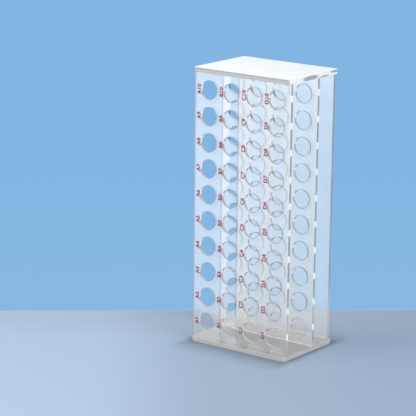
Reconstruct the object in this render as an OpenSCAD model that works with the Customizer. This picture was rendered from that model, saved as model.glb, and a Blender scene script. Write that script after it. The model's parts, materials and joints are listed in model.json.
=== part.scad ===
// Microcentrifuge tube rack cut from clear acrylic sheet, standing on one of its ends.
// Five flat sheets are butt-welded together: two end plates, and between them a drilled
// front plate, a drilled guide plate and a closed back plate. A tube goes in through the
// front plate, passes the guide plate and stops against the back plate, so each tube
// place is a pair of bores on one axis.
// Frame: +Z runs up the rows, +X runs across the columns and the front plate faces -Y.
// The origin is the middle of the footprint, on the surface that the rack stands on.

/* [Tube places] */
// Bore of a tube place
tube_bore = 12; // [8:0.5:14]
// Rows of tube places, counted up from the foot
rows = 10; // [2:1:14]
// Columns of tube places, counted from the left
columns = 4; // [2:1:8]
// Distance between the axes of two rows
row_pitch = 17; // [15:0.5:24]
// Distance between the axes of two columns
column_pitch = 17.5; // [15:0.5:24]
// Distance from the outer columns' axes to the plates' long edges
side_margin = 11; // [8:0.5:20]
// Distance from the first and last rows' axes to the end plates
end_margin = 11; // [8:0.5:20]

/* [Sheet] */
// Thickness of the front, guide and back plates
plate_thickness = 2; // [1.5:0.1:4]
// Thickness of the two end plates
end_thickness = 3; // [2:0.1:6]
// Radius of the end plates' four corners
corner_radius = 2.5; // [0.5:0.1:6]

/* [Tiers] */
// Clear depth between the front plate and the guide plate
front_tier = 27; // [15:0.5:50]
// Clear depth between the guide plate and the back plate
back_tier = 15.6; // [8:0.2:40]
// How far the end plates stand out past the front plate
front_overhang = 1.8; // [0.2:0.1:6]
// How far the end plates stand out past the back plate
back_overhang = 3.6; // [0.2:0.1:8]

/* [Hidden] */
$fn = 64;

plate_width = (columns - 1) * column_pitch + 2 * side_margin;
plate_height = (rows - 1) * row_pitch + 2 * end_margin;
stack_depth = 3 * plate_thickness + front_tier + back_tier;
rack_depth = front_overhang + stack_depth + back_overhang;

// Where the outer face of the front plate lies, then the front faces of the two plates behind it
front_y = front_overhang - rack_depth / 2;
guide_y = front_y + plate_thickness + front_tier;
back_y = guide_y + plate_thickness + back_tier;
upper_end_z = end_thickness + plate_height;

// A drill passes this far beyond both faces of a sheet
cut_through = 1;
acrylic = [0.82, 0.91, 0.97, 0.45];

// A rectangle centred on the origin, with its corners rounded to true arcs
module rounded_rectangle(width, depth, radius) {
    square([width - 2 * radius, depth], center = true);
    square([width, depth - 2 * radius], center = true);
    for (side = [-1, 1], end = [-1, 1])
        translate([side * (width / 2 - radius), end * (depth / 2 - radius)])
            circle(r = radius);
}

// A sheet on edge between the end plates, with its outer face at y = face_y
module upright_sheet(face_y) {
    translate([-plate_width / 2, face_y, end_thickness])
        cube([plate_width, plate_thickness, plate_height]);
}

// One drill for each tube place, along +Y through the sheet at face_y
module tube_drills(face_y) {
    for (column = [0 : columns - 1], row = [0 : rows - 1])
        translate([
            side_margin + column * column_pitch - plate_width / 2,
            face_y - cut_through,
            end_thickness + end_margin + row * row_pitch
        ])
            rotate([-90, 0, 0])
                cylinder(d = tube_bore, h = plate_thickness + 2 * cut_through);
}

module drilled_sheet(face_y) {
    difference() {
        upright_sheet(face_y);
        tube_drills(face_y);
    }
}

module end_plate() {
    linear_extrude(height = end_thickness)
        rounded_rectangle(plate_width, rack_depth, corner_radius);
}

module lower_end_plate() {
    color(acrylic) end_plate();
}

module upper_end_plate() {
    color(acrylic) translate([0, 0, upper_end_z]) end_plate();
}

module front_plate() {
    color(acrylic) drilled_sheet(front_y);
}

module guide_plate() {
    color(acrylic) drilled_sheet(guide_y);
}

module back_plate() {
    color(acrylic) upright_sheet(back_y);
}

lower_end_plate();
upper_end_plate();
front_plate();
guide_plate();
back_plate();
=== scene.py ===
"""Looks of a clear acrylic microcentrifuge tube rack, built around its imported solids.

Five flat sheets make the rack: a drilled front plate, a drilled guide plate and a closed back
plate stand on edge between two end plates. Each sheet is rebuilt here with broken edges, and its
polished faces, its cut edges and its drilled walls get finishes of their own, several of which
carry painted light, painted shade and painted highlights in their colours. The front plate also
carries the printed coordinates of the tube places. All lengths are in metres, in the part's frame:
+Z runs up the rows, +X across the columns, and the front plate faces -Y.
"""

from __future__ import annotations

import json
import logging
import math
from dataclasses import dataclass
from enum import Enum

import bmesh
import bpy
from mathutils import Matrix, Vector

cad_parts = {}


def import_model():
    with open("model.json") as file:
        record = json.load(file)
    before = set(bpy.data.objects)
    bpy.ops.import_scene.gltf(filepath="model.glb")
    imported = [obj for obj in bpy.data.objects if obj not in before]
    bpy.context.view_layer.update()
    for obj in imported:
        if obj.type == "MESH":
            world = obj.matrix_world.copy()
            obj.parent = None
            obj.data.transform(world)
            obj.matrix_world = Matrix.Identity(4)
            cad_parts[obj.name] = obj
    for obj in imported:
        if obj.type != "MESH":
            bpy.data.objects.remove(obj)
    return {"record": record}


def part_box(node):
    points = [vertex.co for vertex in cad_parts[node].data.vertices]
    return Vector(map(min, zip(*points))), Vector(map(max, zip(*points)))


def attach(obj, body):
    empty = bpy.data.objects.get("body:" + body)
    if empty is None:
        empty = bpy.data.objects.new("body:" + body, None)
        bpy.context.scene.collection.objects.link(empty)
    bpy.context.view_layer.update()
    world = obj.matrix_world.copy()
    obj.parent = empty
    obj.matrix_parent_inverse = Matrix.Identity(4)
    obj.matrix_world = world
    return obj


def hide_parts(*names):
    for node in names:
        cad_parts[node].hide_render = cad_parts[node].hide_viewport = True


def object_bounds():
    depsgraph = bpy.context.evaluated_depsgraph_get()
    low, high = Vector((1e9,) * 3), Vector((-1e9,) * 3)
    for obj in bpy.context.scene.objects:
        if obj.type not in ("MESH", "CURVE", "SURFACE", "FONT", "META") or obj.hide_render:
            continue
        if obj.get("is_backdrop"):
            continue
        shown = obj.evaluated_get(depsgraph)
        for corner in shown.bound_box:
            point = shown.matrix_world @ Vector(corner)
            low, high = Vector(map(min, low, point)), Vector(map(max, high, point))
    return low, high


MM = 0.001
ROOT_BODY = "root"
ACRYLIC_IOR = 1.49

# A tone eases over this length where it steps from one column to the next.
COLUMN_STEP = 1 * MM
# How squarely a wall faces along an axis where it begins to count as that side, and does in full.
FACING_SIDE = (0.6, 0.8)
# How squarely a face points along an axis to be a polished one, a broad one and a level one.
FACES_OUT, BROAD_FACE, DEAD_LEVEL = 0.9, 0.99, 0.9999
# The folds, in radians, above which an edge is broken and above which it is drawn sharp.
SQUARE_EDGE, SHARP_EDGE = 0.6, math.radians(30.0)
# Points closer than this are one point.
SAME_POINT = 1e-7

log = logging.getLogger("tube_rack")

Colour = tuple[float, float, float]
Span = tuple[float, float]
Tones = tuple[tuple[float, Colour], ...]


class Surface(Enum):
    """The kinds of surface on a sheet, each with the index of its material slot."""

    POLISHED = 0
    CUT = 1
    BORE = 2


Finishes = dict[Surface, bpy.types.Material]


def rgba(colour: Colour) -> tuple[float, float, float, float]:
    """Returns a colour with full opacity added."""
    return (*colour, 1.0)


# ---------------------------------------------------------------------------------------------
# Shader building
# ---------------------------------------------------------------------------------------------


class NodeSheet:
    """A node tree with short ways to add and join nodes."""

    def __init__(self, tree: bpy.types.NodeTree) -> None:
        """Wraps a material's, a group's or a world's node tree."""
        self.tree = tree

    def add(self, kind: str, **settings: object) -> bpy.types.Node:
        """Adds a node.

        Args:
            kind: The node's type name, without the leading ShaderNode.
            **settings: Properties to set on the node.

        Returns:
            The new node.
        """
        node = self.tree.nodes.new("ShaderNode" + kind)
        for name, value in settings.items():
            setattr(node, name, value)
        return node

    def put(self, target: bpy.types.NodeSocket, value: object) -> None:
        """Feeds an input from a socket, or sets it to a plain value.

        Args:
            target: The input socket.
            value: An output socket, a number or a tuple.
        """
        if isinstance(value, bpy.types.NodeSocket):
            self.tree.links.new(value, target)
        else:
            target.default_value = value

    def split(self, output: str) -> bpy.types.Node:
        """Splits the object's coordinates or its normals into X, Y and Z.

        Args:
            output: "Object" for the coordinates or "Normal" for the normals.

        Returns:
            The node with the three parts.
        """
        parts = self.add("SeparateXYZ")
        self.put(parts.inputs[0], self.add("TexCoord").outputs[output])
        return parts

    def math(self, operation: str, *values: object, clamp: bool = False) -> bpy.types.NodeSocket:
        """Adds a Math node.

        Args:
            operation: The node's operation.
            *values: Its inputs, each a socket or a number.
            clamp: True to hold the result between 0 and 1.

        Returns:
            The node's output.
        """
        node = self.add("Math", operation=operation, use_clamp=clamp)
        for index, value in enumerate(values):
            self.put(node.inputs[index], value)
        return node.outputs[0]

    def ramp(
        self,
        value: object,
        span: Span,
        result: tuple[object, object] = (0.0, 1.0),
        smooth: bool = True,
    ) -> bpy.types.NodeSocket:
        """Adds a Map Range node that holds its result inside the given limits.

        Args:
            value: The value to map.
            span: The values that give the first and the last result.
            result: The first and the last result, each a socket or a number.
            smooth: True for an eased ramp, False for a straight one.

        Returns:
            The node's output.
        """
        node = self.add(
            "MapRange", interpolation_type="SMOOTHSTEP" if smooth else "LINEAR", clamp=True
        )
        for name, number in zip(
            ("Value", "From Min", "From Max", "To Min", "To Max"), (value, *span, *result)
        ):
            self.put(node.inputs[name], number)
        return node.outputs[0]

    def between(self, share: object, none: object, full: object) -> bpy.types.NodeSocket:
        """Makes a number that passes evenly from one value to another as a share goes to 1."""
        return self.ramp(share, (0.0, 1.0), (none, full), smooth=False)

    def window(self, value: object, rise: Span, fall: Span) -> bpy.types.NodeSocket:
        """Makes a mask that eases up to 1 over one span and back to 0 over another."""
        return self.math("MULTIPLY", self.ramp(value, rise), self.ramp(value, fall[::-1]))

    def length(self, first: object, second: object) -> bpy.types.NodeSocket:
        """Works out the length of a line from its runs along two axes."""
        squares = self.math("MULTIPLY", second, second)
        return self.math("SQRT", self.math("MULTIPLY_ADD", first, first, squares))

    def from_nearest(self, value: object, first: float, pitch: float) -> bpy.types.NodeSocket:
        """Works out how far a value lies past the nearest of many evenly spaced places.

        Args:
            value: The value.
            first: One of the places.
            pitch: The distance between two of them.

        Returns:
            The distance, negative before the place.
        """
        along = self.math("SUBTRACT", value, first - pitch / 2)
        along = self.math("WRAP", along, pitch, 0.0)
        return self.math("SUBTRACT", along, pitch / 2)

    def mix(self, share: object, first: object, second: object) -> bpy.types.NodeSocket:
        """Mixes two colours.

        Args:
            share: How much of the second colour shows.
            first: The first colour.
            second: The second colour.

        Returns:
            The mixed colour.
        """
        node = self.add("Mix", data_type="RGBA")
        self.put(node.inputs[0], share)
        self.put(node.inputs[6], first)
        self.put(node.inputs[7], second)
        return node.outputs[2]

    def stops(self, value: object, rows: Tones) -> bpy.types.NodeSocket:
        """Adds a Color Ramp that passes through colours at rising values.

        Args:
            value: The value to look up.
            rows: Each stop's value and colour, from the lowest value up.

        Returns:
            The colour.
        """
        node = self.add("ValToRGB")
        first, last = rows[0][0], rows[-1][0]
        elements = node.color_ramp.elements
        elements[0].color, elements[1].color = rgba(rows[0][1]), rgba(rows[-1][1])
        for place, colour in rows[1:-1]:
            elements.new((place - first) / (last - first)).color = rgba(colour)
        self.put(node.inputs[0], self.ramp(value, (first, last), smooth=False))
        return node.outputs[0]

    def scale(self, colour: object, factor: object) -> bpy.types.NodeSocket:
        """Brightens or dims a colour.

        Args:
            colour: The colour, as a socket or three numbers.
            factor: What each of its channels is multiplied by.

        Returns:
            The new colour.
        """
        node = self.add("VectorMath", operation="SCALE")
        self.put(node.inputs[0], colour)
        self.put(node.inputs["Scale"], factor)
        return node.outputs[0]

    def group(self, tree: bpy.types.NodeTree, **values: object) -> bpy.types.NodeSocket:
        """Places a shared node group.

        Args:
            tree: The group.
            **values: Its inputs by name.

        Returns:
            The group's output.
        """
        node = self.add("Group")
        node.node_tree = tree
        for name, value in values.items():
            self.put(node.inputs[name], value)
        return node.outputs[0]

    def seen_directly(self) -> bpy.types.NodeSocket:
        """Tells the rays that show a surface from those that only gather its light.

        Returns:
            A mask that is 1 for the camera's rays and for those that mirrors and glass pass on.
        """
        path = self.add("LightPath")
        passed = self.math(
            "MAXIMUM", path.outputs["Is Glossy Ray"], path.outputs["Is Transmission Ray"]
        )
        return self.math("MAXIMUM", path.outputs["Is Camera Ray"], passed)

    def show_mixed(
        self, kind: str, share: object, first: bpy.types.Node, second: bpy.types.Node
    ) -> None:
        """Mixes two shaders and makes them what the tree shows.

        Args:
            kind: The output node's type name, "OutputMaterial" or "OutputWorld".
            share: How much of the second shader shows.
            first: The first shader.
            second: The second shader.
        """
        blend = self.add("MixShader")
        for target, value in zip(blend.inputs, (share, first.outputs[0], second.outputs[0])):
            self.put(target, value)
        self.put(self.add(kind).inputs["Surface"], blend.outputs[0])


def new_group(
    name: str, inputs: dict[str, float], output: str
) -> tuple[NodeSheet, bpy.types.Node, bpy.types.NodeSocket]:
    """Starts a shared node group that gives one number.

    Args:
        name: The group's name.
        inputs: Its number inputs with their defaults.
        output: The name of its output.

    Returns:
        The group's tree, its input node and the socket that takes its result.
    """
    tree = bpy.data.node_groups.new(name, "ShaderNodeTree")
    for label, default in inputs.items():
        socket = tree.interface.new_socket(label, in_out="INPUT", socket_type="NodeSocketFloat")
        socket.default_value = default
    tree.interface.new_socket(output, in_out="OUTPUT", socket_type="NodeSocketFloat")
    given = tree.nodes.new("NodeGroupInput")
    return NodeSheet(tree), given, tree.nodes.new("NodeGroupOutput").inputs[0]


def add_noise(
    sheet: NodeSheet, place: object, scale: object, detail: float
) -> bpy.types.NodeSocket:
    """Adds a Noise Texture.

    Args:
        sheet: The node tree.
        place: The coordinates.
        scale: The noise's scale.
        detail: How many finer layers it has.

    Returns:
        The noise's strength.
    """
    noise = sheet.add("TexNoise")
    for name, value in (("Vector", place), ("Scale", scale), ("Detail", detail)):
        sheet.put(noise.inputs[name], value)
    return noise.outputs[0]


def surface_haze_group() -> bpy.types.NodeTree:
    """Builds the shared haze of a handled sheet: broad smears with fine wipe marks in them.

    Returns:
        The group, with a Mask from 0 to 1.
    """
    sheet, given, result = new_group("surface_haze", {"Scale": 30.0, "Marks": 0.35}, "Mask")
    scale = given.outputs["Scale"]
    place = sheet.add("TexCoord").outputs["Object"]
    stretch = sheet.add("Mapping")
    sheet.put(stretch.inputs["Vector"], place)
    stretch.inputs["Scale"].default_value = (1.0, 1.0, 14.0)
    stretch.inputs["Rotation"].default_value = (0.0, math.radians(24.0), 0.0)
    smears = add_noise(sheet, place, scale, 3.0)
    wipes = add_noise(sheet, stretch.outputs[0], sheet.math("MULTIPLY", scale, 4.0), 5.0)
    broad = sheet.ramp(smears, (0.35, 0.7))
    fine = sheet.ramp(wipes, (0.52, 0.7))
    marks = sheet.math("MULTIPLY", fine, given.outputs["Marks"])
    sheet.put(result, sheet.math("ADD", broad, marks, clamp=True))
    return sheet.tree


def cutter_marks_group() -> bpy.types.NodeTree:
    """Builds the shared cutter marks of a sawn or drilled edge: fine lines across the sheet.

    Returns:
        The group, with a Height from 0 to 1.
    """
    sheet, given, result = new_group("cutter_marks", {"Per Metre": 2200.0}, "Height")
    place = sheet.split("Object")
    drawn_out = sheet.add("CombineXYZ")
    sheet.put(drawn_out.inputs["X"], place.outputs["X"])
    sheet.put(drawn_out.inputs["Y"], sheet.math("MULTIPLY", place.outputs["Y"], 0.04))
    sheet.put(drawn_out.inputs["Z"], place.outputs["Z"])
    lines = add_noise(sheet, drawn_out.outputs[0], given.outputs["Per Metre"], 2.0)
    sheet.put(result, lines)
    return sheet.tree


class Shading:
    """The node groups that the finishes share."""

    def __init__(self) -> None:
        """Builds the groups once."""
        self.haze = surface_haze_group()
        self.marks = cutter_marks_group()


def new_material(name: str) -> tuple[bpy.types.Material, NodeSheet, bpy.types.Node]:
    """Starts a material.

    Args:
        name: The material's name.

    Returns:
        The material, its node tree and its Principled node.
    """
    material = bpy.data.materials.new(name)
    material.use_nodes = True
    return material, NodeSheet(material.node_tree), material.node_tree.nodes["Principled BSDF"]


# ---------------------------------------------------------------------------------------------
# Finishes
# ---------------------------------------------------------------------------------------------


@dataclass(frozen=True)
class Haze:
    """How far a surface is hazed by handling.

    Attributes:
        scale: How finely the smears lie.
        marks: How strongly wipe marks show in them.
    """

    scale: float
    marks: float

    def over(self, sheet: NodeSheet, shading: Shading) -> bpy.types.NodeSocket:
        """Returns the mask of the haze over a material's surface."""
        return sheet.group(shading.haze, Scale=self.scale, Marks=self.marks)


@dataclass(frozen=True)
class CutterMarks:
    """The satin gloss and the fine ridges that a saw or a drill leaves.

    Attributes:
        roughness: Roughness where the marks are faint, and where they are strong.
        span: The strengths between which the one passes into the other.
        depth: Height of the ridges, or 0 where only the gloss shows them.
        strength: How strongly the ridges bend the light.
    """

    roughness: Span = (0.28, 0.5)
    span: Span = (0.3, 0.7)
    depth: float = 0.02 * MM
    strength: float = 0.6

    def cut(self, sheet: NodeSheet, shader: bpy.types.Node, shading: Shading) -> None:
        """Gives a material the marks.

        Args:
            sheet: The material's node tree.
            shader: Its Principled node.
            shading: The shared node groups.
        """
        marks = sheet.group(shading.marks)
        sheet.put(shader.inputs["Roughness"], sheet.ramp(marks, self.span, self.roughness))
        shader.inputs["IOR"].default_value = ACRYLIC_IOR
        if self.depth > 0.0:
            bump = sheet.add("Bump")
            bump.inputs["Distance"].default_value = self.depth
            bump.inputs["Strength"].default_value = self.strength
            sheet.put(bump.inputs["Height"], marks)
            sheet.put(shader.inputs["Normal"], bump.outputs[0])


@dataclass(frozen=True)
class EdgeLine:
    """A fine line along one edge of a polished face: the sheet's end or a cemented joint, dark, or
    white as a painted highlight.

    Attributes:
        axis: The axis across the line, "X" or "Z".
        start: Where the face ends on that axis; the line runs on its rising side.
        colour: The line's colour.
        reach: Its width.
        solid: How solid it looks.
        begin: Where a line across Z begins on X; without it the line runs the whole way.
        crisp: The share of its width over which it shows in full.
        depth: How far behind the sheet's front face it has faded out, and how far it shows in full.
    """

    axis: str
    start: float
    colour: Colour
    reach: float = 0.9 * MM
    solid: float = 0.9
    begin: float | None = None
    crisp: float = 0.7
    depth: Span = (1.2 * MM, 0.6 * MM)

    def mask(self, sheet: NodeSheet, place: bpy.types.Node, front: float) -> bpy.types.NodeSocket:
        """Works out where the line shows.

        Args:
            sheet: The material's node tree.
            place: Its point, split into X, Y and Z.
            front: The y of the sheet's front face.

        Returns:
            The line's mask.
        """
        away = sheet.math("SUBTRACT", place.outputs[self.axis], self.start)
        shown = sheet.ramp(away, (self.reach, self.reach * self.crisp))
        deep = sheet.math("SUBTRACT", place.outputs["Y"], front)
        shown = sheet.math("MULTIPLY", shown, sheet.ramp(deep, self.depth))
        if self.begin is not None:
            begun = sheet.ramp(place.outputs["X"], (self.begin, self.begin + COLUMN_STEP))
            shown = sheet.math("MULTIPLY", shown, begun)
        return shown


@dataclass(frozen=True)
class FallenLight:
    """The painted light that comes in low over the lower plate, through the upright sheets and
    their bores, with the painted shade that they throw.

    Attributes:
        sheets: The y of each sheet's front face, and the share of the light that it lets through.
        behind_share: The share that reaches the plate behind the sheet with the bores.
        bored: The y of the sheet whose lowest row of bores lets all of it through.
        left: The x of the sheets' -X ends.
        foot: Height of the lower plate's top.
        first: The x and z of that row's first axis.
        pitch: Distance between two bores.
        radius: Their radius.
        blur: How far a bore's patch of light fades out, in radii.
        sideways: How far the light runs towards +X for each metre that it comes forwards.
        drop: How far it drops.
        line: Width of the painted shadow line that a sheet's end throws.
        line_share: The share of the light that is left in that line.
        soft: Half the length over which the light changes under a sheet.
    """

    sheets: tuple[tuple[float, float], ...]
    behind_share: float
    bored: float
    left: float
    foot: float
    first: tuple[float, float]
    pitch: float
    radius: float = 6 * MM
    blur: float = 1.12
    sideways: float = 0.754
    drop: float = 0.31
    line: float = 1.0 * MM
    line_share: float = 0.8
    soft: float = 0.5 * MM

    def through_bores(self, sheet: NodeSheet, run: object, from_x: object) -> bpy.types.NodeSocket:
        """Works out where the painted light comes through the lowest row of bores.

        Args:
            sheet: The material's node tree.
            run: How far in front of the drilled sheet a point lies.
            from_x: The x at which its light crosses that sheet.

        Returns:
            A mask of the painted patches of light.
        """
        along = sheet.from_nearest(from_x, self.first[0], self.pitch)
        above = sheet.math("MULTIPLY_ADD", run, self.drop, self.foot - self.first[1])
        return sheet.ramp(sheet.length(along, above), (self.radius * self.blur, self.radius))

    def share(self, sheet: NodeSheet, place: bpy.types.Node) -> bpy.types.NodeSocket:
        """Works out how much of the painted light reaches each point of the lower plate.

        Args:
            sheet: The material's node tree.
            place: Its point, split into X, Y and Z.

        Returns:
            The share of the light, from 0 to 1.
        """
        total: object = 1.0
        under = (-self.soft, self.soft)
        for face_y, through in self.sheets:
            run = sheet.math("SUBTRACT", face_y, place.outputs["Y"])
            aside = sheet.math("MULTIPLY", run, -self.sideways)
            from_x = sheet.math("ADD", aside, place.outputs["X"])
            crossed = sheet.ramp(run, under)
            past_end = sheet.math("SUBTRACT", from_x, self.left)
            solid = sheet.math("MULTIPLY", crossed, sheet.ramp(past_end, (0.0, self.line)))
            line = sheet.window(past_end, (-self.line / 2, 0.0), (self.line, self.line * 1.5))
            if face_y == self.bored:
                behind = sheet.ramp(run, under, (self.behind_share, 1.0))
                total = sheet.math("MULTIPLY", total, behind)
                shut = sheet.math("SUBTRACT", 1.0, self.through_bores(sheet, run, from_x))
                solid = sheet.math("MULTIPLY", solid, shut)
            left_over = sheet.between(solid, 1.0, through)
            dimmed = sheet.between(sheet.math("MULTIPLY", crossed, line), 1.0, self.line_share)
            total = sheet.math("MULTIPLY", total, sheet.math("MULTIPLY", left_over, dimmed))
        return total


@dataclass(frozen=True)
class PolishedFace:
    """The polished faces of clear sheet: see-through head on and whiter at a glance.

    Attributes:
        name: The material's name.
        tones: The light that the face throws back, painted into its colour as a painted reflection:
            one colour, or one for each of some heights.
        far_share: How much of that painted light is left at the face's +X side, the rest being
            painted shade.
        across: The x between which the -X side passes into the +X side.
        veil: How solid one face looks head on.
        glance_veil: How solid it looks at a low angle.
        glance: Where the change from one to the other starts and ends, from 0 head on to 1.
        shadow: The share of its veil that dims a lamp's light.
        haze: The haze of handling.
        patchy: What the veil is multiplied by where it is clean, and where it is most hazed.
        gloss: Roughness where the face is clean.
        smear: Roughness added where it has been handled.
        shine: Strength of the reflections, where 0.5 is that of acrylic.
        front: The y of the sheet's front face, which carries the lines.
        lines: The fine lines along that face's edges.
        fallen: The painted light and shade that fall on it past the other sheets, on the lower
            plate.
    """

    name: str
    tones: Colour | Tones
    far_share: float = 1.0
    across: Span = (0.0, 0.0)
    veil: float = 0.29
    glance_veil: float = 0.8
    glance: Span = (0.24, 0.8)
    shadow: float = 0.05
    haze: Haze = Haze(34.0, 0.3)
    patchy: Span = (0.97, 1.05)
    gloss: float = 0.06
    smear: float = 0.1
    shine: float = 0.5
    front: float = 0.0
    lines: tuple[EdgeLine, ...] = ()
    fallen: FallenLight | None = None

    def tint(self, sheet: NodeSheet, place: bpy.types.Node) -> object:
        """Works out the face's colour, with its painted light and shade, before its lines are
        drawn.

        Args:
            sheet: The material's node tree.
            place: Its point, split into X, Y and Z.

        Returns:
            A colour, or the socket that gives one.
        """
        if isinstance(self.tones[0], tuple):
            tint: object = sheet.stops(place.outputs["Z"], self.tones)
        elif self.fallen is not None:
            tint = self.tones
        else:
            return rgba(self.tones)
        if self.far_share < 1.0:
            share = sheet.ramp(place.outputs["X"], self.across, (1.0, self.far_share))
            tint = sheet.scale(tint, share)
        if self.fallen is not None:
            tint = sheet.scale(tint, self.fallen.share(sheet, place))
        return tint

    def build(self, shading: Shading) -> bpy.types.Material:
        """Builds the material.

        Args:
            shading: The shared node groups.

        Returns:
            The material.
        """
        material, sheet, shader = new_material(self.name)
        haze = self.haze.over(sheet, shading)
        place = sheet.split("Object")
        # The face's colour is painted reflected light, with painted shade by height and side.
        tint = self.tint(sheet, place)
        facing = sheet.add("LayerWeight")
        facing.inputs["Blend"].default_value = 0.5
        veils = (self.veil, self.glance_veil)
        veil = sheet.ramp(facing.outputs["Facing"], self.glance, veils, smooth=False)
        veil = sheet.math("MULTIPLY", veil, sheet.between(haze, *self.patchy), clamp=True)
        for line in self.lines:
            shown = line.mask(sheet, place, self.front)
            veil = sheet.math("MAXIMUM", veil, sheet.math("MULTIPLY", shown, line.solid))
            tint = sheet.mix(shown, tint, rgba(line.colour))
        sheet.put(shader.inputs["Base Color"], tint)
        lamp = sheet.add("LightPath").outputs["Is Shadow Ray"]
        alpha = sheet.math("MULTIPLY", veil, sheet.between(lamp, 1.0, self.shadow))
        sheet.put(shader.inputs["Alpha"], alpha)
        roughness = sheet.between(haze, self.gloss, self.gloss + self.smear)
        sheet.put(shader.inputs["Roughness"], roughness)
        shader.inputs["Specular IOR Level"].default_value = self.shine
        shader.inputs["IOR"].default_value = ACRYLIC_IOR
        return material


@dataclass(frozen=True)
class CutEdge:
    """The sawn edges of an upright sheet: satin grey, with painted highlights beside each bore of a
    drilled one.

    Attributes:
        name: The material's name.
        shade: The colour high up.
        foot_shade: The colour near the lower end plate.
        rise: Heights between which one passes into the other.
        haze: The haze of handling.
        soil: How strongly the haze darkens the edge.
        soiled: What is left of the colour where it does so in full.
        lit: The colour of the painted highlights beside the bores.
        inner: The colour seen from inside the sheet.
        solid: How solid the edge looks.
        through: How solid it looks from inside the sheet.
        cemented: How solid it looks where it is cemented to an end plate.
        rows: Height of the first row's axis and the pitch of the rows; None without bores.
        lift: Height of a patch above its bore's axis.
        reach: Half the length of a bright patch.
        crisp: The share of that length over which it shows in full.
        marks: The cutter marks.
    """

    name: str
    shade: Colour = (0.37, 0.36, 0.34)
    foot_shade: Colour = (0.58, 0.57, 0.55)
    rise: Span = (18 * MM, 50 * MM)
    haze: Haze = Haze(60.0, 0.5)
    soil: float = 0.6
    soiled: float = 0.75
    lit: Colour = (1.0, 1.0, 1.0)
    inner: Colour = (0.6, 0.6, 0.6)
    solid: float = 0.95
    through: float = 0.15
    cemented: float = 0.3
    rows: Span | None = None
    lift: float = 2.0 * MM
    reach: float = 2.5 * MM
    crisp: float = 0.65
    marks: CutterMarks = CutterMarks()

    def build(self, shading: Shading) -> bpy.types.Material:
        """Builds the material.

        Args:
            shading: The shared node groups.

        Returns:
            The material.
        """
        material, sheet, shader = new_material(self.name)
        place, way = sheet.split("Object"), sheet.split("Normal")
        behind = sheet.add("NewGeometry").outputs["Backfacing"]
        low = sheet.ramp(place.outputs["Z"], self.rise[::-1])
        colour = sheet.mix(low, rgba(self.shade), rgba(self.foot_shade))
        soil = sheet.math("MULTIPLY", self.haze.over(sheet, shading), self.soil)
        darker = tuple(channel * self.soiled for channel in self.shade)
        colour = sheet.mix(soil, colour, rgba(darker))
        if self.rows is not None:
            first, pitch = self.rows
            # Painted highlights: bright patches on the edge just above each row of bores.
            along = sheet.from_nearest(place.outputs["Z"], first + self.lift, pitch)
            away = sheet.math("ABSOLUTE", along)
            painted_highlight = sheet.ramp(away, (self.reach, self.reach * self.crisp))
            painted_highlight = sheet.math("MULTIPLY", painted_highlight, sheet.math("SUBTRACT", 1.0, behind))
            colour = sheet.mix(painted_highlight, colour, rgba(self.lit))
        colour = sheet.mix(behind, colour, rgba(self.inner))
        level = sheet.ramp(sheet.math("ABSOLUTE", way.outputs["Z"]), FACING_SIDE)
        colour = sheet.mix(level, colour, rgba(self.foot_shade))
        sheet.put(shader.inputs["Base Color"], colour)
        solid = sheet.between(behind, self.solid, self.through)
        sheet.put(shader.inputs["Alpha"], sheet.between(level, solid, self.cemented))
        self.marks.cut(sheet, shader, shading)
        return material


@dataclass(frozen=True)
class DimSpot:
    """A dim oval spot of painted shade on the flanks of an end plate's rim.

    Attributes:
        y: The y of its middle.
        z: The z of its middle.
        half_length: Half its length along Y.
        half_height: Half its height.
        edge: The squared distances, in half lengths, between which it fades in.
    """

    y: float
    z: float
    half_length: float
    half_height: float
    edge: Span = (1.3, 0.35)

    def mask(self, sheet: NodeSheet, place: bpy.types.Node) -> bpy.types.NodeSocket:
        """Works out where the spot shows.

        Args:
            sheet: The material's node tree.
            place: Its point, split into X, Y and Z.

        Returns:
            The spot's mask.
        """
        along = sheet.math("SUBTRACT", place.outputs["Y"], self.y)
        above = sheet.math("SUBTRACT", place.outputs["Z"], self.z)
        along = sheet.math("POWER", sheet.math("DIVIDE", along, self.half_length), 2.0)
        above = sheet.math("POWER", sheet.math("DIVIDE", above, self.half_height), 2.0)
        return sheet.ramp(sheet.math("ADD", along, above), self.edge)


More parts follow.
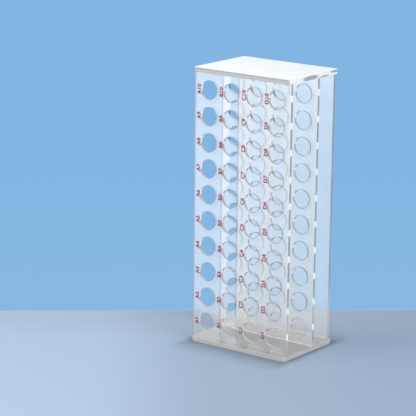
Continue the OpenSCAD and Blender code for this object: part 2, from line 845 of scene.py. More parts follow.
@dataclass(frozen=True)
class EndRim:
    """The sawn rim round an end plate: a dark line along its top, and flanks painted lit or grey,
    with dim spots of painted shade.

    Attributes:
        name: The material's name.
        low: Height of the plate's underside.
        high: Height of its top.
        band: The colour of the front and rear rim.
        line: The colour of the line along the rim's top.
        line_span: The heights between which the line comes in, as shares of the rim's.
        flank: The colour of the rim at the plate's two sides, which carries painted light.
        shade: The colour of the dim spots of painted shade on the flanks, and of the haze's mottle.
        spots: The dim spots of painted shade.
        haze: The haze of handling.
        mottle: How strongly it shows.
        solid: How solid the rim looks.
        shadow: The share of it that dims a lamp's light.
        marks: The cutter marks.
    """

    name: str
    low: float
    high: float
    band: Colour = (0.49, 0.465, 0.44)
    line: Colour = (0.33, 0.32, 0.31)
    line_span: Span = (0.6, 0.85)
    flank: Colour = (0.93, 0.92, 0.89)
    shade: Colour = (0.39, 0.385, 0.38)
    spots: tuple[DimSpot, ...] = ()
    haze: Haze = Haze(50.0, 0.5)
    mottle: float = 0.12
    solid: float = 0.94
    shadow: float = 1.0
    marks: CutterMarks = CutterMarks()

    def build(self, shading: Shading) -> bpy.types.Material:
        """Builds the material.

        Args:
            shading: The shared node groups.

        Returns:
            The material.
        """
        material, sheet, shader = new_material(self.name)
        place, way = sheet.split("Object"), sheet.split("Normal")
        height = sheet.ramp(place.outputs["Z"], (self.low, self.high), smooth=False)
        band = sheet.mix(sheet.ramp(height, self.line_span), rgba(self.band), rgba(self.line))
        # The flanks carry painted light, darkened by the spots of painted shade.
        flank: object = rgba(self.flank)
        for spot in self.spots:
            flank = sheet.mix(spot.mask(sheet, place), flank, rgba(self.shade))
        side = sheet.ramp(sheet.math("ABSOLUTE", way.outputs["X"]), FACING_SIDE)
        colour = sheet.mix(side, band, flank)
        mottle = sheet.between(self.haze.over(sheet, shading), 0.0, self.mottle)
        sheet.put(shader.inputs["Base Color"], sheet.mix(mottle, colour, rgba(self.shade)))
        if self.shadow < 1.0:
            lamp = sheet.add("LightPath").outputs["Is Shadow Ray"]
            alpha = sheet.between(lamp, self.solid, self.solid * self.shadow)
            sheet.put(shader.inputs["Alpha"], alpha)
        else:
            shader.inputs["Alpha"].default_value = self.solid
        self.marks.cut(sheet, shader, shading)
        return material


@dataclass(frozen=True)
class DimColumns:
    """The columns before the last one, where a plate's bore walls get painted shade.

    Attributes:
        side: The share of painted light left on the side walls.
        lower: The share left on the lower walls, which face up.
        reach: How deep the line seen from inside the sheet reaches, as a share of the thickness.
        turn: How far up a wall faces where the one share passes into the other.
        last: The x from which the last column's walls start.
    """

    side: float
    lower: float
    reach: float
    turn: Span = (0.45, 0.75)
    last: float = 18 * MM

    def kept(
        self, sheet: NodeSheet, place: bpy.types.Node, way: bpy.types.Node
    ) -> bpy.types.NodeSocket:
        """Works out how much of the painted light is left on a wall.

        Args:
            sheet: The material's node tree.
            place: Its point, split into X, Y and Z.
            way: The way that the wall faces, split into X, Y and Z.

        Returns:
            The share of light that is left.
        """
        share = sheet.ramp(way.outputs["Z"], self.turn, (self.side, self.lower))
        return self.until_last(sheet, place, share, 1.0)

    def until_last(
        self, sheet: NodeSheet, place: bpy.types.Node, before: object, after: object
    ) -> bpy.types.NodeSocket:
        """Chooses one value before the last column and another in it."""
        return sheet.ramp(place.outputs["X"], (self.last, self.last + COLUMN_STEP), (before, after))


@dataclass(frozen=True)
class BoreWall:
    """The drilled walls: a painted highlight at the side that faces the light, painted grey shade
    below, a fine line inside.

    Attributes:
        name: The material's name.
        front: The y of the sheet's outer face.
        thickness: The sheet's thickness.
        shade: The colour of the wall.
        low_shade: The colour of the wall's lower side, a painted shade.
        low_span: How far up a wall faces where one passes into the other.
        outline: The colour of the line round the outer rim.
        outline_shares: How strong that line is at the bore's -X and at its +X side.
        outline_span: The span of the wall's turn in X over which one passes into the other.
        outline_reach: Depths between which it fades, as shares of the thickness.
        inner: The colour of the line seen from inside the sheet.
        inner_solid: How solid that line looks.
        inner_reach: How deep it reaches, as a share of the thickness.
        inner_edge: How far off that depth it has faded out, and how far off it shows in full.
        dim_columns: The columns whose walls get painted shade, if there are any.
        lit: The colour of the bright stretch, a painted highlight.
        lit_short: The spans of the wall's turn in Z over which the bright stretch comes and goes.
        lit_long: The same in the outer column, where it is longer.
        lit_side: The span of the wall's turn in X over which it comes in.
        outer_column: The x below which the bright stretch is longer.
        foot_shade: The colour of the lowest row, painted light that stands in for the lower plate
            lighting it from below.
        fade: Heights between which the drawing of the walls comes up.
        faded: How much of it is left in the lowest row.
        solid: How solid the wall looks from inside the bore.
        through: How solid it looks from inside the sheet.
        marks: The cutter marks.
    """

    name: str
    front: float
    thickness: float = 2 * MM
    shade: Colour = (0.49, 0.48, 0.47)
    low_shade: Colour = (0.47, 0.46, 0.45)
    low_span: Span = (0.08, 0.3)
    outline: Colour = (0.12, 0.115, 0.11)
    outline_shares: Span = (0.12, 1.0)
    outline_span: Span = (0.3, -0.3)
    outline_reach: Span = (0.35, 0.15)
    inner: Colour = (0.08, 0.077, 0.074)
    inner_solid: float = 0.95
    inner_reach: float = 0.5
    inner_edge: Span = (0.06, -0.1)
    dim_columns: DimColumns | None = None
    lit: Colour = (1.0, 1.0, 1.0)
    lit_short: tuple[Span, Span] = ((-0.5, -0.38), (-0.16, -0.06))
    lit_long: tuple[Span, Span] = ((-0.9, -0.76), (0.0, 0.2))
    lit_side: Span = (0.0, 0.2)
    outer_column: float = -18 * MM
    foot_shade: Colour = (0.52, 0.51, 0.495)
    fade: Span = (19 * MM, 25 * MM)
    faded: float = 0.3
    solid: float = 0.92
    through: float = 0.2
    marks: CutterMarks = CutterMarks(roughness=(0.2, 0.4), depth=0.0)

    def bright_stretch(
        self, sheet: NodeSheet, place: bpy.types.Node, way: bpy.types.Node
    ) -> bpy.types.NodeSocket:
        """Works out where a wall carries its painted highlight.

        Args:
            sheet: The material's node tree.
            place: Its point, split into X, Y and Z.
            way: The way that the wall faces, split into X, Y and Z.

        Returns:
            The bright stretch's mask.
        """
        short = sheet.window(way.outputs["Z"], *self.lit_short)
        long = sheet.window(way.outputs["Z"], *self.lit_long)
        step = (self.outer_column, self.outer_column - COLUMN_STEP)
        outer = sheet.ramp(place.outputs["X"], step)
        lit = sheet.math("MAXIMUM", short, sheet.math("MULTIPLY", long, outer))
        return sheet.math("MULTIPLY", lit, sheet.ramp(way.outputs["X"], self.lit_side))

    def build(self, shading: Shading) -> bpy.types.Material:
        """Builds the material.

        Args:
            shading: The shared node groups.

        Returns:
            The material.
        """
        material, sheet, shader = new_material(self.name)
        place, way = sheet.split("Object"), sheet.split("Normal")
        behind = sheet.add("NewGeometry").outputs["Backfacing"]
        depth = sheet.math("SUBTRACT", place.outputs["Y"], self.front)
        depth = sheet.math("DIVIDE", depth, self.thickness)
        lower = sheet.ramp(way.outputs["Z"], self.low_span)
        colour = sheet.mix(lower, rgba(self.shade), rgba(self.low_shade))
        share = sheet.ramp(way.outputs["X"], self.outline_span, self.outline_shares)
        rim = sheet.math("MULTIPLY", sheet.ramp(depth, self.outline_reach), share)
        reach: object = self.inner_reach
        dim = self.dim_columns
        if dim is not None:
            # Painted shade on the walls of the dim columns.
            colour = sheet.scale(colour, dim.kept(sheet, place, way))
            reach = dim.until_last(sheet, place, dim.reach, self.inner_reach)
        colour = sheet.mix(rim, colour, rgba(self.outline))
        # The lowest row passes into painted light from the lower plate.
        drawn = sheet.ramp(place.outputs["Z"], self.fade, (self.faded, 1.0))
        colour = sheet.mix(drawn, rgba(self.foot_shade), colour)
        # Painted highlight on the side that faces the light.
        colour = sheet.mix(self.bright_stretch(sheet, place, way), colour, rgba(self.lit))
        inner = sheet.mix(drawn, rgba(self.foot_shade), rgba(self.inner))
        sheet.put(shader.inputs["Base Color"], sheet.mix(behind, colour, inner))
        line = sheet.ramp(sheet.math("SUBTRACT", depth, reach), self.inner_edge)
        inside = sheet.between(line, self.through, self.inner_solid)
        inside = sheet.math("MULTIPLY", behind, sheet.math("MULTIPLY", inside, drawn))
        outside = sheet.math("MULTIPLY", sheet.math("SUBTRACT", 1.0, behind), self.solid)
        sheet.put(shader.inputs["Alpha"], sheet.math("ADD", inside, outside, clamp=True))
        self.marks.cut(sheet, shader, shading)
        return material


@dataclass(frozen=True)
class PrintInk:
    """Screen-printed ink: dense and a little glossy, thinner in small spots.

    Attributes:
        name: The material's name.
        colour: The ink's colour.
        thin: The colour where less ink lies.
        spots: How finely the thin spots lie.
        roughness: Roughness where the ink is dense, and where it is thin.
    """

    name: str
    colour: Colour = (0.30, 0.006, 0.018)
    thin: Colour = (0.36, 0.014, 0.03)
    spots: Haze = Haze(900.0, 0.2)
    roughness: Span = (0.35, 0.5)

    def build(self, shading: Shading) -> bpy.types.Material:
        """Builds the material.

        Args:
            shading: The shared node groups.

        Returns:
            The material.
        """
        material, sheet, shader = new_material(self.name)
        spots = self.spots.over(sheet, shading)
        sheet.put(shader.inputs["Base Color"], sheet.mix(spots, rgba(self.colour), rgba(self.thin)))
        sheet.put(shader.inputs["Roughness"], sheet.ramp(spots, (0.0, 1.0), self.roughness))
        return material


# ---------------------------------------------------------------------------------------------
# Sheets
# ---------------------------------------------------------------------------------------------


def finish_mesh(name: str, work: bmesh.types.BMesh) -> bpy.types.Object:
    """Turns a finished bmesh into an object at the origin.

    Args:
        name: The piece's name.
        work: The bmesh, which is freed.

    Returns:
        The object.
    """
    bmesh.ops.recalc_face_normals(work, faces=work.faces)
    smooth = [face.smooth for face in work.faces]
    mesh = bpy.data.meshes.new(name)
    work.to_mesh(mesh)
    work.free()
    mesh.set_sharp_from_angle(angle=SHARP_EDGE)
    mesh.polygons.foreach_set("use_smooth", smooth)
    piece = bpy.data.objects.new(name, mesh)
    bpy.context.scene.collection.objects.link(piece)
    return piece


def round_edges(
    work: bmesh.types.BMesh, edges: list[bmesh.types.BMEdge], width: float, segments: int
) -> None:
    """Rounds edges with a bevel.

    Args:
        work: The bmesh.
        edges: The edges to round.
        width: The bevel's width.
        segments: Its number of facets.
    """
    bmesh.ops.bevel(
        work,
        geom=edges,
        offset=width,
        segments=segments,
        profile=0.5,
        affect="EDGES",
        material=-1,
    )


@dataclass
class Sheet:
    """One flat sheet of the rack.

    Attributes:
        name: The piece's name.
        node: The CAD node that it stands for.
        finishes: A material for each kind of surface.
        edge_break: Width of the small bevel along the sheet's edges.
    """

    name: str
    node: str
    finishes: Finishes
    edge_break: float = 0.12 * MM

    def __post_init__(self) -> None:
        """Takes the sheet's corners from its CAD node."""
        self.low, self.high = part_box(self.node)

    @property
    def size(self) -> Vector:
        """Returns the sheet's extent along each axis."""
        return self.high - self.low

    def block(self, work: bmesh.types.BMesh) -> None:
        """Adds the sheet's plain block to a bmesh."""
        middle = Matrix.Translation((self.low + self.high) / 2)
        bmesh.ops.create_cube(work, size=1.0, matrix=middle @ Matrix.Diagonal((*self.size, 1.0)))

    def break_edges(self, work: bmesh.types.BMesh) -> None:
        """Bevels every sharp edge a little, as sanding leaves them.

        Args:
            work: The bmesh.
        """
        folds = [e for e in work.edges if len(e.link_faces) == 2]
        sharp = [e for e in folds if e.calc_face_angle() > SQUARE_EDGE]
        round_edges(work, sharp, self.edge_break, 2)

    def shape(self, work: bmesh.types.BMesh) -> None:
        """Shapes the sheet in a bmesh."""
        self.block(work)
        self.break_edges(work)

    def kind_of(self, face: bmesh.types.BMFace) -> Surface:
        """Tells a broad face from the cut edges."""
        return Surface.POLISHED if abs(face.normal.y) > FACES_OUT else Surface.CUT

    def build(self) -> bpy.types.Object:
        """Builds the sheet, dresses it and hands it to the frame.

        Returns:
            The piece.
        """
        work = bmesh.new()
        self.shape(work)
        bmesh.ops.recalc_face_normals(work, faces=work.faces)
        for face in work.faces:
            kind = self.kind_of(face)
            face.material_index = kind.value
            level = max(abs(part) for part in face.normal) > DEAD_LEVEL
            face.smooth = kind is Surface.BORE or not level
        piece = finish_mesh(self.name, work)
        for kind in Surface:
            if kind in self.finishes:
                piece.data.materials.append(self.finishes[kind])
        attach(piece, ROOT_BODY)
        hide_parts(self.node)
        return piece


@dataclass
class EndSheet(Sheet):
    """An end plate, lying flat, with rounded corners.

    Attributes:
        corner_radius: Radius of the four corners.
        corner_facets: Facets round each of them.
    """

    corner_radius: float = 2.5 * MM
    corner_facets: int = 10

    def shape(self, work: bmesh.types.BMesh) -> None:
        """Shapes the plate: a block, its corners rounded and its edges broken.

        Args:
            work: The bmesh.
        """
        self.block(work)
        upright = [e for e in work.edges if abs(e.verts[0].co.z - e.verts[1].co.z) > SAME_POINT]
        round_edges(work, upright, self.corner_radius, self.corner_facets)
        self.break_edges(work)

    def kind_of(self, face: bmesh.types.BMFace) -> Surface:
        """Tells a flat face from the cut edge round the plate."""
        return Surface.POLISHED if abs(face.normal.z) > FACES_OUT else Surface.CUT


@dataclass
class DrilledSheet(Sheet):
    """A plate on edge with a bore for each tube place.

    Attributes:
        axes: The x and z of each bore's axis.
        bore_radius: Radius of the bores.
        rim_break: Width of the bevel round a bore's rims.
        steps: Facets round a bore.
        margin: Width along the plate's edges in which no bore lies.
    """

    axes: tuple[tuple[float, float], ...] = ()
    bore_radius: float = 6 * MM
    rim_break: float = 0.2 * MM
    steps: int = 56
    margin: float = 1 * MM

    def bore_wall(self, work: bmesh.types.BMesh, x: float, z: float) -> None:
        """Adds one bore's wall, with both of its rims broken.

        Args:
            work: The bmesh.
            x: The axis's x.
            z: The axis's z.
        """
        wide, narrow = self.bore_radius + self.rim_break, self.bore_radius
        profile = (
            (wide, self.low.y),
            (narrow, self.low.y + self.rim_break),
            (narrow, self.high.y - self.rim_break),
            (wide, self.high.y),
        )
        points = [work.verts.new((x + radius, y, z)) for radius, y in profile]
        line = [work.edges.new(pair) for pair in zip(points, points[1:])]
        bmesh.ops.spin(
            work,
            geom=[*points, *line],
            cent=(x, 0.0, z),
            axis=(0.0, 1.0, 0.0),
            angle=2 * math.pi,
            steps=self.steps,
            use_merge=True,
        )

    def shape(self, work: bmesh.types.BMesh) -> None:
        """Shapes the plate: its rim, the bores' walls, and the two faces filled between them.

        Args:
            work: The bmesh.
        """
        self.block(work)
        self.break_edges(work)
        broad = [f for f in work.faces if abs(f.normal.y) > BROAD_FACE]
        bmesh.ops.delete(work, geom=broad, context="FACES_ONLY")
        for x, z in self.axes:
            self.bore_wall(work, x, z)
        for y in (self.low.y, self.high.y):
            rims = [
                e
                for e in work.edges
                if e.is_boundary and all(abs(v.co.y - y) < SAME_POINT for v in e.verts)
            ]
            bmesh.ops.triangle_fill(work, use_beauty=True, use_dissolve=False, edges=rims)

    def kind_of(self, face: bmesh.types.BMFace) -> Surface:
        """Tells the faces, the bores' walls and the cut edge apart.

        Args:
            face: A face of the plate.

        Returns:
            The kind of surface.
        """
        if abs(face.normal.y) > FACES_OUT:
            return Surface.POLISHED
        centre = face.calc_center_median()
        inside = (
            self.low.x + self.margin < centre.x < self.high.x - self.margin
            and self.low.z + self.margin < centre.z < self.high.z - self.margin
        )
        return Surface.BORE if inside else Surface.CUT


@dataclass
class CoordinatePrint:
    """The printed coordinates beside the tube places, reading upwards.

    Attributes:
        places: Each tube place's label with the x and z of its axis.
        face_y: The front plate's outer face.
        ink: The ink's material.
        cap_height: Height of a capital letter.
        aside: Distance from a tube axis to the middle of its label, towards -X.
        film: Thickness of the ink.
        weight: How far the strokes are thickened, as a share of the text's size.
        cap_share: Height of a capital as a share of the text's size.
        spacing: How far apart the characters stand, where 1 is the typeface's own spacing.
    """

    places: dict[str, tuple[float, float]]
    face_y: float
    ink: bpy.types.Material
    cap_height: float = 2.75 * MM
    aside: float = 7.5 * MM
    film: float = 0.04 * MM
    weight: float = 0.040
    cap_share: float = 0.73
    spacing: float = 1.06

    def label(self, text: str, x: float, z: float) -> bpy.types.Mesh:
        """Makes one label's mesh in its place.

        Args:
            text: The label.
            x: The x of its tube's axis.
            z: The z of its tube's axis.

        Returns:
            The mesh.
        """
        scale = self.cap_height / self.cap_share
        curve = bpy.data.curves.new(text, "FONT")
        curve.body = text
        curve.size = 1.0
        curve.bevel_depth = self.weight
        curve.bevel_resolution = 0
        curve.align_x = "CENTER"
        curve.space_character = self.spacing
        holder = bpy.data.objects.new(text, curve)
        bpy.context.scene.collection.objects.link(holder)
        bpy.context.view_layer.update()
        mesh = bpy.data.meshes.new_from_object(holder)
        bpy.data.objects.remove(holder)
        bpy.data.curves.remove(curve)
        turned = Matrix(((0, -1, 0), (0, 0, -1), (1, 0, 0))).to_4x4()
        centred = Matrix.Translation((0, -self.cap_share / 2, 0))
        flat = Matrix.Diagonal((scale, scale, self.film / self.weight / 2, 1.0))
        place = Matrix.Translation((x - self.aside, self.face_y - self.film / 2, z))
        mesh.transform(place @ turned @ flat @ centred)
        return mesh

    def build(self) -> bpy.types.Object:
        """Builds the whole print as one piece.

        Returns:
            The piece.
        """
        work = bmesh.new()
        for text, (x, z) in self.places.items():
            mesh = self.label(text, x, z)
            work.from_mesh(mesh)
            bpy.data.meshes.remove(mesh)
        bmesh.ops.remove_doubles(work, verts=work.verts, dist=SAME_POINT)
        piece = finish_mesh("coordinate_print", work)
        piece.data.materials.append(self.ink)
        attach(piece, ROOT_BODY)
        return piece


# ---------------------------------------------------------------------------------------------
# Studio
# ---------------------------------------------------------------------------------------------


@dataclass(frozen=True)
class SoftLamp:
    """A square soft lamp.

    Attributes:
        name: The lamp's name.
        place: Where it hangs.
        size: The length of its side.
        power: Its power in watts.
        colour: Its colour.
        mirrored: False where polished faces don't mirror it.
    """

    name: str
    place: tuple[float, float, float]
    size: float
    power: float
    colour: Colour = (1.0, 1.0, 1.0)
    mirrored: bool = True

    def hang(self, target: Vector) -> None:
        """Hangs the lamp and points it.

        Args:
            target: The point that it faces.
        """
        lamp = bpy.data.lights.new(self.name, "AREA")
        lamp.size = self.size
        lamp.energy = self.power
        lamp.color = self.colour
        holder = bpy.data.objects.new(self.name, lamp)
        bpy.context.scene.collection.objects.link(holder)
        holder.visible_glossy = self.mirrored
        holder.location = self.place
        holder.rotation_euler = (target - Vector(self.place)).to_track_quat("-Z", "Y").to_euler()


@dataclass(frozen=True)
class View:
    """The camera's place, as seen from the middle of the part.

    Attributes:
        azimuth: Degrees round from the front, towards +X.
        elevation: Degrees above the horizon.
        roll: Degrees that the picture is turned clockwise.
        distance: How far off the camera stands.
        aside: How far the aim lies to the right of the part's middle.
        above: How far it lies above.
        lens: Focal length in millimetres.
        sensor: Width of the sensor in millimetres.
    """

    azimuth: float = 36.970
    elevation: float = 13.884
    roll: float = 0.6386
    distance: float = 1.29214
    aside: float = -35.68 * MM
    above: float = -1.15 * MM
    lens: float = 174.04
    sensor: float = 36.0

    def axes(self) -> tuple[Vector, Vector, Vector]:
        """Works out the level directions of the view.

        Returns:
            The right, up and forward directions.
        """
        turn, lift = math.radians(self.azimuth), math.radians(self.elevation)
        forward = Vector(
            (-math.sin(turn) * math.cos(lift), math.cos(turn) * math.cos(lift), -math.sin(lift))
        )
        right = forward.cross(Vector((0, 0, 1))).normalized()
        return right, right.cross(forward), forward

    def place(self, middle: Vector) -> None:
        """Makes the scene's camera.

        Args:
            middle: The middle of the part's box.
        """
        right, up, forward = self.axes()
        aim = middle + right * self.aside + up * self.above
        tilt = math.radians(self.roll)
        across = right * math.cos(tilt) + up * math.sin(tilt)
        upward = up * math.cos(tilt) - right * math.sin(tilt)
        lens = bpy.data.cameras.new("view")
        lens.lens = self.lens
        lens.sensor_width = self.sensor
        camera = bpy.data.objects.new("view", lens)
        bpy.context.scene.collection.objects.link(camera)
        pose = Matrix((across, upward, -forward)).transposed().to_4x4()
        pose.translation = aim - forward * self.distance
        camera.matrix_world = pose
        bpy.context.scene.camera = camera


@dataclass
class Studio:
    """A pale table with a pale blue wall close behind the rack, under soft lamps.

    Attributes:
        view: The camera.
        lamps: The soft lamps.
        table: The table's colour on the right, with painted light.
        table_left: The table's colour on the left, brighter with painted light.
        table_far: Its colour by the wall, on the right, with painted light.
        table_far_left: Its colour by the wall, on the left, with painted light.
        table_across: Where the right passes into the left, from the rack's middle.
        table_back: Where the near colours pass into those by the wall.
        table_roughness: The table's roughness.
        wall: The wall's colour.
        wall_low: The wall's colour low down.
        wall_rise: Height up to which the wall is tinged with it.
        wall_foot: The colour of the soft line where the wall meets the table.
        wall_line: Height of that line.
        wall_gap: How far the wall stands behind the rack's middle.
        wall_turn: Degrees that the wall is turned about the vertical.
        reach: Half the table's and the wall's length.
        shade_reach: How far the contact shade reaches in front of the rack.
        shade_squeeze: How much sooner it ends beside the rack.
        shade_depth: The share of light that it takes away at the rack's foot.
        shade_curve: How quickly it thins out at first.
        ambient: The colour of the light from all round.
        ambient_level: Its strength.
        crossings: How many clear surfaces a ray may cross.
    """

    view: View = View()
    lamps: tuple[SoftLamp, ...] = (
        SoftLamp("key", (-0.40, -0.62, 0.62), 0.45, 5.8),
        SoftLamp("fill", (1.5, -0.4, 0.9), 1.0, 20.0),
        SoftLamp("overhead", (0.0, 0.1, 1.5), 0.9, 1.5),
        SoftLamp("rear", (0.0, 1.6, 0.12), 0.3, 4.0, (0.80, 0.92, 1.0), mirrored=False),
    )
    table: Colour = (0.306, 0.387, 0.481)
    table_left: Colour = (0.390, 0.483, 0.594)
    table_far: Colour = (0.331, 0.403, 0.497)
    table_far_left: Colour = (0.370, 0.459, 0.556)
    table_across: Span = (-30 * MM, -110 * MM)
    table_back: Span = (0.0, 42 * MM)
    table_roughness: float = 0.6
    wall: Colour = (0.223, 0.462, 0.759)
    wall_low: Colour = (0.242, 0.479, 0.768)
    wall_rise: float = 120 * MM
    wall_foot: Colour = (0.36, 0.48, 0.62)
    wall_line: float = 1.2 * MM
    wall_gap: float = 70.3 * MM
    wall_turn: float = 2.5
    reach: float = 3.0
    shade_reach: float = 26 * MM
    shade_squeeze: float = 3.2
    shade_depth: float = 0.50
    shade_curve: float = 1.8
    ambient: Colour = (0.90, 0.95, 1.0)
    ambient_level: float = 0.42
    crossings: int = 48

    def contact_shade(self, sheet: NodeSheet) -> bpy.types.NodeSocket:
        """Works out the soft shade on the table close round the rack's foot.

        Args:
            sheet: The table's node tree.

        Returns:
            The share of light that is left, which is 1 away from the rack.
        """
        low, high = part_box("lower_end_plate")
        place = sheet.split("Object")
        beside = sheet.math("ABSOLUTE", place.outputs["X"])
        beside = sheet.math("MAXIMUM", sheet.math("SUBTRACT", beside, high.x), 0.0)
        beside = sheet.math("MULTIPLY", beside, self.shade_squeeze)
        before = sheet.math("SUBTRACT", low.y, place.outputs["Y"])
        behind = sheet.math("SUBTRACT", place.outputs["Y"], high.y)
        along = sheet.math("MAXIMUM", sheet.math("MAXIMUM", before, behind), 0.0)
        away = sheet.length(beside, along)
        near = sheet.ramp(away, (self.shade_reach, 0.0), smooth=False)
        near = sheet.math("POWER", near, self.shade_curve)
        return sheet.math("SUBTRACT", 1.0, sheet.math("MULTIPLY", near, self.shade_depth))

    def stage_grid(self, name: str, material: bpy.types.Material, turn: Matrix) -> None:
        """Puts up one large flat square of the studio.

        Args:
            name: Its name.
            material: Its material.
            turn: Its place and turn.
        """
        work = bmesh.new()
        bmesh.ops.create_grid(work, x_segments=1, y_segments=1, size=self.reach, matrix=turn)
        square = finish_mesh(name, work)
        square.data.materials.append(material)
        square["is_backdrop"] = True

    def lay_table(self) -> None:
        """Lays the table under the rack."""
        material, sheet, shader = new_material("table_top")
        turned = sheet.add("Mapping")
        turned.inputs["Rotation"].default_value = (0.0, 0.0, -math.radians(self.view.azimuth))
        sheet.put(turned.inputs["Vector"], sheet.add("TexCoord").outputs["Object"])
        place = sheet.add("SeparateXYZ")
        sheet.put(place.inputs[0], turned.outputs[0])
        # Painted light: the table is brighter on the left and changes towards the wall, as light
        # falls on it unevenly.
        leftness = sheet.ramp(place.outputs["X"], self.table_across)
        near = sheet.mix(leftness, rgba(self.table), rgba(self.table_left))
        far = sheet.mix(leftness, rgba(self.table_far), rgba(self.table_far_left))
        colour = sheet.mix(sheet.ramp(place.outputs["Y"], self.table_back), near, far)
        shade = self.contact_shade(sheet)
        sheet.put(shader.inputs["Base Color"], sheet.scale(colour, shade))
        shader.inputs["Roughness"].default_value = self.table_roughness
        self.stage_grid("table", material, Matrix.Identity(4))

    def stand_wall(self) -> None:
        """Stands the wall behind the rack, as its camera sees it; its back can't be seen."""
        material = bpy.data.materials.new("wall_paint")
        material.use_nodes = True
        material.node_tree.nodes.clear()
        sheet = NodeSheet(material.node_tree)
        paint = sheet.add("Emission")
        height = sheet.split("Object").outputs["Z"]
        low = sheet.ramp(height, (self.wall_rise, 0.0))
        colour = sheet.mix(low, rgba(self.wall), rgba(self.wall_low))
        foot = sheet.ramp(height, (self.wall_line, 0.0))
        sheet.put(paint.inputs["Color"], sheet.mix(foot, colour, rgba(self.wall_foot)))
        behind = sheet.add("NewGeometry").outputs["Backfacing"]
        before = sheet.math("SUBTRACT", 1.0, behind)
        shown = sheet.math("MULTIPLY", sheet.seen_directly(), before)
        sheet.show_mixed("OutputMaterial", shown, sheet.add("BsdfTransparent"), paint)
        right, _, forward = self.view.axes()
        level = Vector((forward.x, forward.y, 0.0)).normalized()
        turn = Matrix((right, Vector((0, 0, 1)), -level)).transposed().to_4x4()
        turn = Matrix.Rotation(math.radians(self.wall_turn), 4, "Z") @ turn
        turn.translation = level * self.wall_gap
        self.stage_grid("wall", material, turn)

    def light_world(self) -> None:
        """Lights the world: an even soft light, behind which the wall's blue shows."""
        world = bpy.data.worlds.new("studio")
        bpy.context.scene.world = world
        world.use_nodes = True
        world.node_tree.nodes.clear()
        sheet = NodeSheet(world.node_tree)
        even, seen = sheet.add("Background"), sheet.add("Background")
        even.inputs["Color"].default_value = rgba(self.ambient)
        even.inputs["Strength"].default_value = self.ambient_level
        seen.inputs["Color"].default_value = rgba(self.wall)
        sheet.show_mixed("OutputWorld", sheet.seen_directly(), even, seen)

    def build(self, middle: Vector) -> None:
        """Builds the studio round the rack.

        Args:
            middle: The middle of the part's box.
        """
        self.lay_table()
        self.stand_wall()
        self.light_world()
        for lamp in self.lamps:
            lamp.hang(middle)
        self.view.place(middle)
        scene = bpy.context.scene
        scene.view_settings.view_transform = "Standard"
        scene.cycles.transparent_max_bounces = self.crossings


# ---------------------------------------------------------------------------------------------
# The rack
# ---------------------------------------------------------------------------------------------

# The light that the front plate throws back, painted into its colour, with painted shade that makes
# it dimmer at its foot.
FRONT_TONES = (
    (0.0 * MM, (0.64, 0.62, 0.595)),
    (9 * MM, (0.59, 0.575, 0.555)),
    (15 * MM, (0.65, 0.635, 0.61)),
    (19 * MM, (0.77, 0.755, 0.73)),
    (24 * MM, (0.89, 0.88, 0.86)),
    (32 * MM, (0.93, 0.93, 0.92)),
    (90 * MM, (0.95, 0.97, 0.98)),
    (150 * MM, (1.0, 1.0, 1.0)),
)
# The light that the two plates behind it throw back, painted into their colour, with painted shade
# that makes it dimmer at their foot.
PALE_TONES = (
    (0.0 * MM, (0.86, 0.82, 0.77)),
    (14 * MM, (0.92, 0.90, 0.87)),
    (36 * MM, (0.97, 0.985, 0.99)),
    (150 * MM, (0.985, 1.0, 1.0)),
)


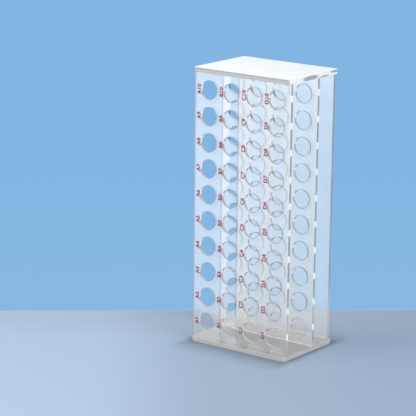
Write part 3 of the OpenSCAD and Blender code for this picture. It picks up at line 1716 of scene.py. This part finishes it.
@dataclass
class TubeRack:
    """The whole rack, dressed.

    Attributes:
        record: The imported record, whose bores give the tube places.
    """

    record: dict

    def __post_init__(self) -> None:
        """Takes the tube places from the record and the sheets' places from the CAD nodes."""
        self.shading = Shading()
        self.places = {
            mount["name"].removeprefix("tube_").upper(): (mount["pos_m"][0], mount["pos_m"][2])
            for mount in self.record["mounts"]
            if mount["kind"] == "bore"
        }
        self.columns = sorted({round(x, 6) for x, _ in self.places.values()})
        self.rows = sorted({round(z, 6) for _, z in self.places.values()})
        self.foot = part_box("lower_end_plate")[1].z
        self.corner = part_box("front_plate")[0]
        self.guide_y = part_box("guide_plate")[0].y
        self.back_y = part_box("back_plate")[0].y
        self.far_side = EdgeLine("X", self.corner.x, (0.05, 0.049, 0.048), 1.3 * MM)

    def foot_line(self, colour: Colour, reach: float, begin: float | None = None) -> EdgeLine:
        """Returns the line where an upright plate is cemented to the lower end plate."""
        return EdgeLine("Z", self.foot, colour, reach, solid=1.0, begin=begin)

    def lower_end(self) -> Finishes:
        """Makes the lower end plate's finishes.

        Returns:
            The finishes.
        """
        # Painted light and shade on the plate's top, where light falls past the upright sheets and
        # through the guide plate's bores.
        fallen = FallenLight(
            sheets=((self.guide_y, 0.69), (self.back_y, 0.77)),
            behind_share=0.88,
            bored=self.guide_y,
            left=self.corner.x,
            foot=self.foot,
            first=(self.columns[0], self.rows[0]),
            pitch=self.columns[1] - self.columns[0],
        )
        # Its top is painted darker than the upper plate's: painted shade under the rack.
        face = PolishedFace(
            "lower_end_face",
            tones=(0.73, 0.70, 0.66),
            fallen=fallen,
            glance_veil=0.95,
            shadow=0.8,
            gloss=0.03,
            smear=0.05,
        )
        rim = EndRim(
            "lower_end_rim",
            low=0.0,
            high=self.foot,
            band=(0.57, 0.54, 0.505),
            line=(0.57, 0.54, 0.505),
            flank=(0.585, 0.56, 0.525),
        )
        return {
            Surface.POLISHED: face.build(self.shading),
            Surface.CUT: rim.build(self.shading),
        }

    def upper_end(self) -> Finishes:
        """Makes the upper end plate's finishes.

        Returns:
            The finishes.
        """
        low, high = (corner.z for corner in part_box("upper_end_plate"))
        # Its top is painted near white: a painted reflection of the light from above.
        face = PolishedFace(
            "upper_end_face",
            tones=(0.97, 0.96, 0.90),
            glance_veil=0.96,
            gloss=0.3,
            shine=0.1,
        )
        rim = EndRim(
            "upper_end_rim",
            low=low,
            high=high,
            shadow=0.15,
            # Painted shade beside where the guide and back plates meet the rim.
            spots=(
                DimSpot(-4.5 * MM, low + 1.3 * MM, 9 * MM, 1.9 * MM),
                DimSpot(11 * MM, low + 0.5 * MM, 5.5 * MM, 0.8 * MM),
                DimSpot(22.5 * MM, low + 2.3 * MM, 5.5 * MM, 1.0 * MM),
            ),
        )
        return {
            Surface.POLISHED: face.build(self.shading),
            Surface.CUT: rim.build(self.shading),
        }

    def front(self, edge: bpy.types.Material) -> Finishes:
        """Makes the front plate's finishes.

        Args:
            edge: The finish of the drilled plates' cut edges.

        Returns:
            The finishes.
        """
        face = PolishedFace(
            "front_face",
            tones=FRONT_TONES,
            far_share=0.825,
            across=(-4 * MM, 0.0),
            front=self.corner.y,
            lines=(
                EdgeLine("X", self.corner.x, (0.39, 0.38, 0.37)),
                self.foot_line((0.30, 0.29, 0.28), 0.3 * MM),
            ),
        )
        wall = BoreWall("front_bore_wall", front=self.corner.y)
        return {
            Surface.POLISHED: face.build(self.shading),
            Surface.CUT: edge,
            Surface.BORE: wall.build(self.shading),
        }

    def guide(self, edge: bpy.types.Material) -> Finishes:
        """Makes the guide plate's finishes.

        Args:
            edge: The finish of the drilled plates' cut edges.

        Returns:
            The finishes.
        """
        face = PolishedFace(
            "guide_face",
            tones=PALE_TONES,
            far_share=0.82,
            across=(-32 * MM, -20 * MM),
            front=self.guide_y,
            # Painted highlight: a white line along the guide plate's cemented foot.
            lines=(self.far_side, self.foot_line((1.0, 1.0, 1.0), 0.7 * MM, -28 * MM)),
        )
        wall = BoreWall(
            "guide_bore_wall",
            front=self.guide_y,
            inner_reach=0.6,
            dim_columns=DimColumns(side=0.4, lower=1.1, reach=0.9),
        )
        return {
            Surface.POLISHED: face.build(self.shading),
            Surface.CUT: edge,
            Surface.BORE: wall.build(self.shading),
        }

    def back(self) -> Finishes:
        """Makes the back plate's finishes.

        Returns:
            The finishes.
        """
        face = PolishedFace(
            "back_face",
            tones=PALE_TONES,
            front=self.back_y,
            lines=(self.far_side, self.foot_line((0.58, 0.58, 0.58), 0.6 * MM)),
        )
        return {
            Surface.POLISHED: face.build(self.shading),
            Surface.CUT: CutEdge("cut_edge").build(self.shading),
        }

    def build(self) -> None:
        """Builds every sheet and the print."""
        rows = (self.rows[0], self.rows[1] - self.rows[0])
        edge = CutEdge("cut_edge_by_bores", rows=rows).build(self.shading)
        ink = PrintInk("print_ink").build(self.shading)
        axes = tuple(self.places.values())
        parts = (
            EndSheet("lower_end_sheet", "lower_end_plate", self.lower_end()),
            EndSheet("upper_end_sheet", "upper_end_plate", self.upper_end()),
            DrilledSheet("front_sheet", "front_plate", self.front(edge), axes=axes),
            DrilledSheet("guide_sheet", "guide_plate", self.guide(edge), axes=axes),
            Sheet("back_sheet", "back_plate", self.back()),
            CoordinatePrint(self.places, self.corner.y, ink),
        )
        for part in parts:
            piece = part.build()
            log.info("%s: %d faces", piece.name, len(piece.data.polygons))


def main() -> None:
    """Builds the dressed rack in its studio."""
    logging.basicConfig(level=logging.INFO)
    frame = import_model()
    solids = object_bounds()
    TubeRack(frame["record"]).build()
    Studio().build((Vector(solids[0]) + Vector(solids[1])) / 2)
    bpy.context.view_layer.update()


if __name__ == "__main__":
    main()
